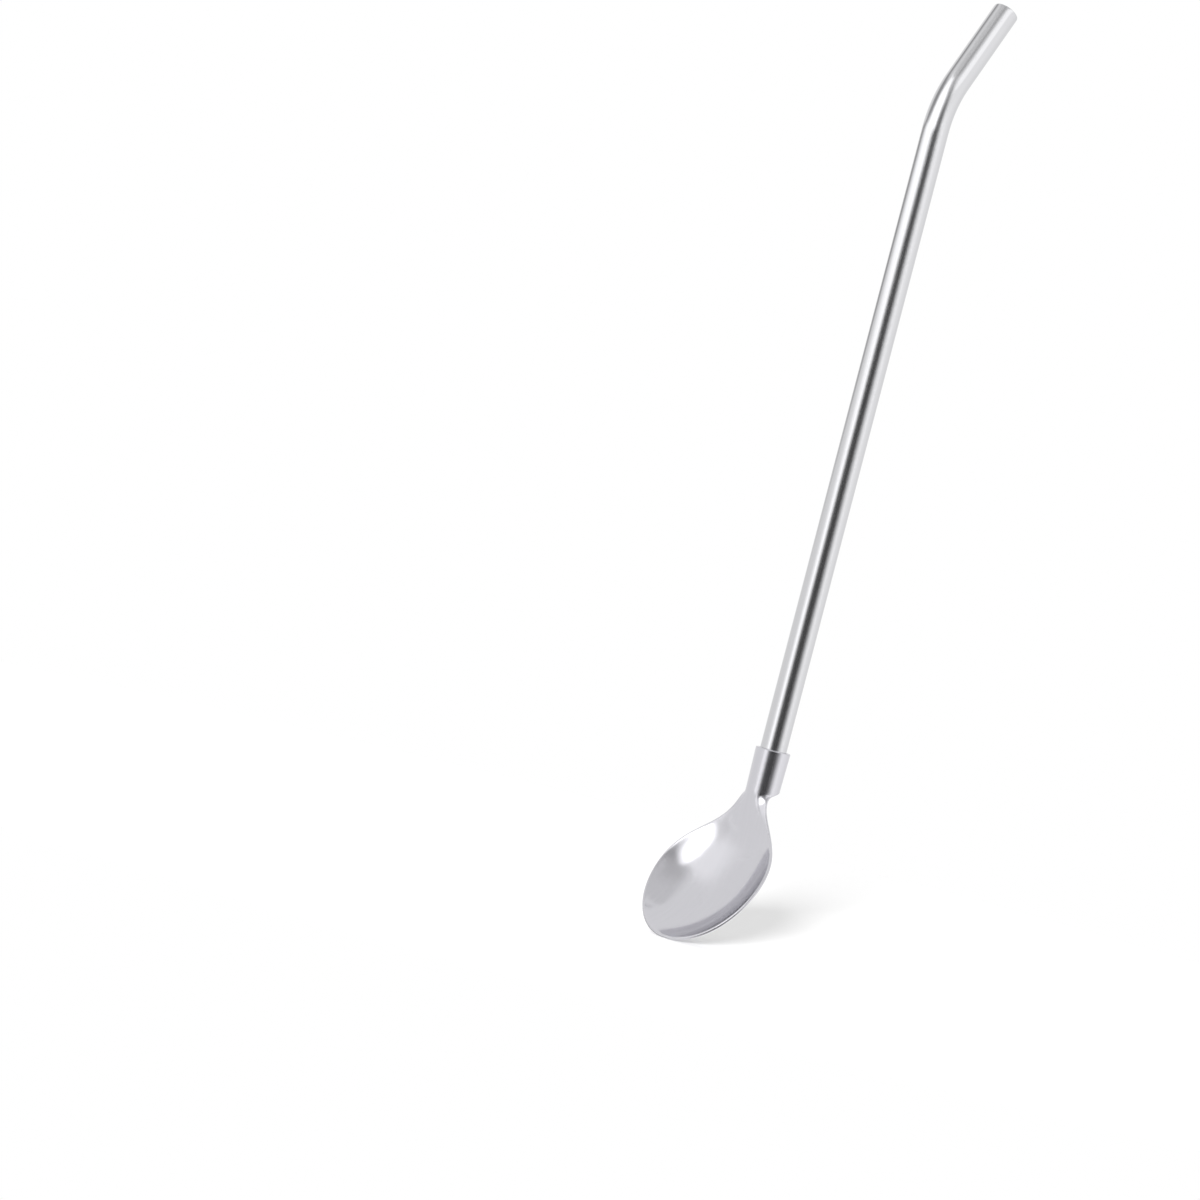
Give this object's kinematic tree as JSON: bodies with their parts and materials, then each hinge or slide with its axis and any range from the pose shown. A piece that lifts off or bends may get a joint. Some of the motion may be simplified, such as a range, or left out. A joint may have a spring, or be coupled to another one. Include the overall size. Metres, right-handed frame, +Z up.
{
  "type": "spoon straw",
  "caption": "Bent metal drinking straw with a small oval spoon on its lower end; the spoon's neck is rolled round the straw as a socket.",
  "frame": {"origin": "under the middle of the object's bounding box, level with the spoon's tip", "axes": "+Z up along the straw's straight run, +Y towards the back of the spoon and the mouth end, -Y the way the spoon's hollow faces, +X to the right when looking into the hollow"},
  "size_m": [0.0296, 0.0366, 0.2169],
  "materials": {
    "straw_steel": "polished stainless steel with fine lengthwise polishing marks",
    "spoon_steel": "pressed and polished stainless steel"
  },
  "bodies": {
    "root": {"straw_tube": "straw_steel", "spoon": "spoon_steel"}
  },
  "joints": []
}
